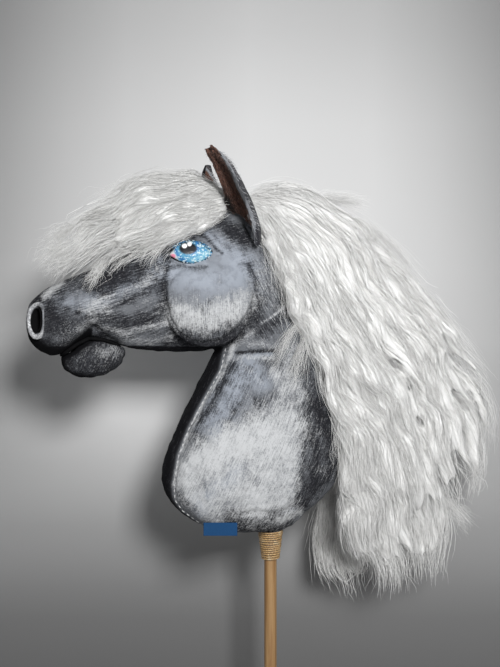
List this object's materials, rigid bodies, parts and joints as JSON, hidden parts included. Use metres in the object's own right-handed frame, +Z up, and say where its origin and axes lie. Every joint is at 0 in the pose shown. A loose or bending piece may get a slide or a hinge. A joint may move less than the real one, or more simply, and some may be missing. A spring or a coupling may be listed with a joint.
{
  "type": "hobby horse",
  "caption": "Toy hobby horse: a stuffed grey cloth horse's head and neck with a white wool mane, bound with twine to a round wooden stick.",
  "frame": {"origin": "centre of the stick's flat foot", "axes": "+Z up along the stick towards the head; the horse faces -X, so its left side is -Y"},
  "size_m": [0.6923, 0.1847, 1.1671],
  "materials": {
    "coat_cloth": "short-pile grey cloth, painted",
    "dark_cloth": "short-pile dark grey cloth",
    "stuffing": "loose fibre filling",
    "pine": "satin",
    "jute_twine": "glued jute",
    "black_cloth": "matte black cloth",
    "rim_cloth": "light grey cloth",
    "painted_eye": "glossy varnished paint",
    "lid_cloth": "short-pile grey cloth",
    "brown_plush": "brown plush",
    "white_wool": "unspun wool",
    "woven_tape": "woven tape",
    "blue_ribbon": "woven ribbon"
  },
  "bodies": {
    "horse": {"stick": "pine", "twine_winding": "jute_twine", "base_panel": "dark_cloth", "side_panel_left": "coat_cloth", "side_panel_right": "coat_cloth", "forehead_gusset": "coat_cloth", "throat_gusset": "dark_cloth", "head_stuffing": "stuffing", "neck_stuffing": "stuffing", "lower_lip": "dark_cloth", "mouth_lining": "black_cloth", "nostril_lining_left": "black_cloth", "nostril_lining_right": "black_cloth", "nostril_rim_left": "rim_cloth", "nostril_rim_right": "rim_cloth", "eye_left": "painted_eye", "eye_right": "painted_eye", "eyelid_upper_left": "lid_cloth", "eyelid_upper_right": "lid_cloth", "eyelid_lower_left": "lid_cloth", "eyelid_lower_right": "lid_cloth", "cheek_left": "coat_cloth", "cheek_right": "coat_cloth", "mane_weft": "woven_tape", "mane_lock_poll": "white_wool", "mane_lock_crest": "white_wool", "mane_lock_middle": "white_wool", "mane_lock_lower": "white_wool", "mane_lock_far_upper": "white_wool", "mane_lock_far_middle": "white_wool", "mane_lock_far_lower": "white_wool"},
    "ear_left": {"ear_outer_left": "coat_cloth", "ear_lining_left": "brown_plush"},
    "ear_right": {"ear_outer_right": "coat_cloth", "ear_lining_right": "brown_plush"},
    "forelock": {"forelock": "white_wool"},
    "label": {"label": "blue_ribbon"}
  },
  "joints": [
    {"name": "ear_left_flex", "type": "hinge", "parent": "horse", "child": "ear_left", "pos_m": [-0.04436, -0.0488, 1.05692], "axis": [0.2999, -0.4975, -0.814], "range_deg": [-20, 20], "stiffness_Nm_per_rad": 0.08},
    {"name": "ear_right_flex", "type": "hinge", "parent": "horse", "child": "ear_right", "pos_m": [-0.04436, 0.04881, 1.05691], "axis": [-0.2999, -0.4924, 0.8171], "range_deg": [-20, 20], "stiffness_Nm_per_rad": 0.08},
    {"name": "forelock_lift", "type": "hinge", "parent": "horse", "child": "forelock", "pos_m": [-0.08073, 0, 1.11011], "axis": [0, 1, 0], "range_deg": [0, 30]},
    {"name": "label_flap", "type": "hinge", "parent": "horse", "child": "label", "pos_m": [-0.08424, -0.04137, 0.6495], "axis": [-0.9652, 0.2616, 0], "range_deg": [-10, 60]}
  ]
}
